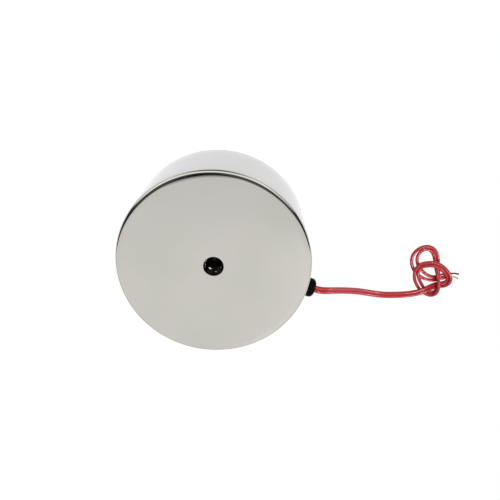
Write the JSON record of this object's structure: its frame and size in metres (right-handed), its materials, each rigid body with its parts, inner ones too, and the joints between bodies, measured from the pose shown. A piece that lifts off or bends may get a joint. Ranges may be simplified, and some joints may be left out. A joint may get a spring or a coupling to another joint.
{
  "type": "holding electromagnet",
  "caption": "Round pot-type holding electromagnet: plated steel pot with a tapped hole in its mounting face, a sealed coil and red flying leads from a rubber grommet.",
  "frame": {"origin": "centre of the holding face, on which the magnet stands", "axes": "+Z along the pot's axis out of the mounting face, +X along the grommet's axis out of the wall"},
  "size_m": [0.1558, 0.08, 0.038],
  "materials": {
    "nickel_plate": "bright nickel plate on turned steel",
    "nylon": "moulded nylon",
    "copper": "enamelled copper wire",
    "tape": "polyester tape",
    "resin": "cast epoxy resin",
    "rubber": "moulded rubber, slightly glossy",
    "red_insulation": "soft glossy PVC",
    "tinned_wire": "tinned copper strands",
    "sleeve": "shrink sleeve"
  },
  "bodies": {
    "root": {"pot_body": "nickel_plate", "coil_bobbin": "nylon", "coil_winding": "copper", "coil_tape": "tape", "pole_seal": "resin", "lead_grommet": "rubber", "lead_wire_1": "red_insulation", "lead_wire_2": "red_insulation", "lead_tip_1": "tinned_wire", "lead_tip_2": "tinned_wire", "splice_sleeve_1": "sleeve", "splice_sleeve_2": "sleeve", "coil_tail_start": "copper", "coil_tail_finish": "copper"}
  },
  "joints": []
}
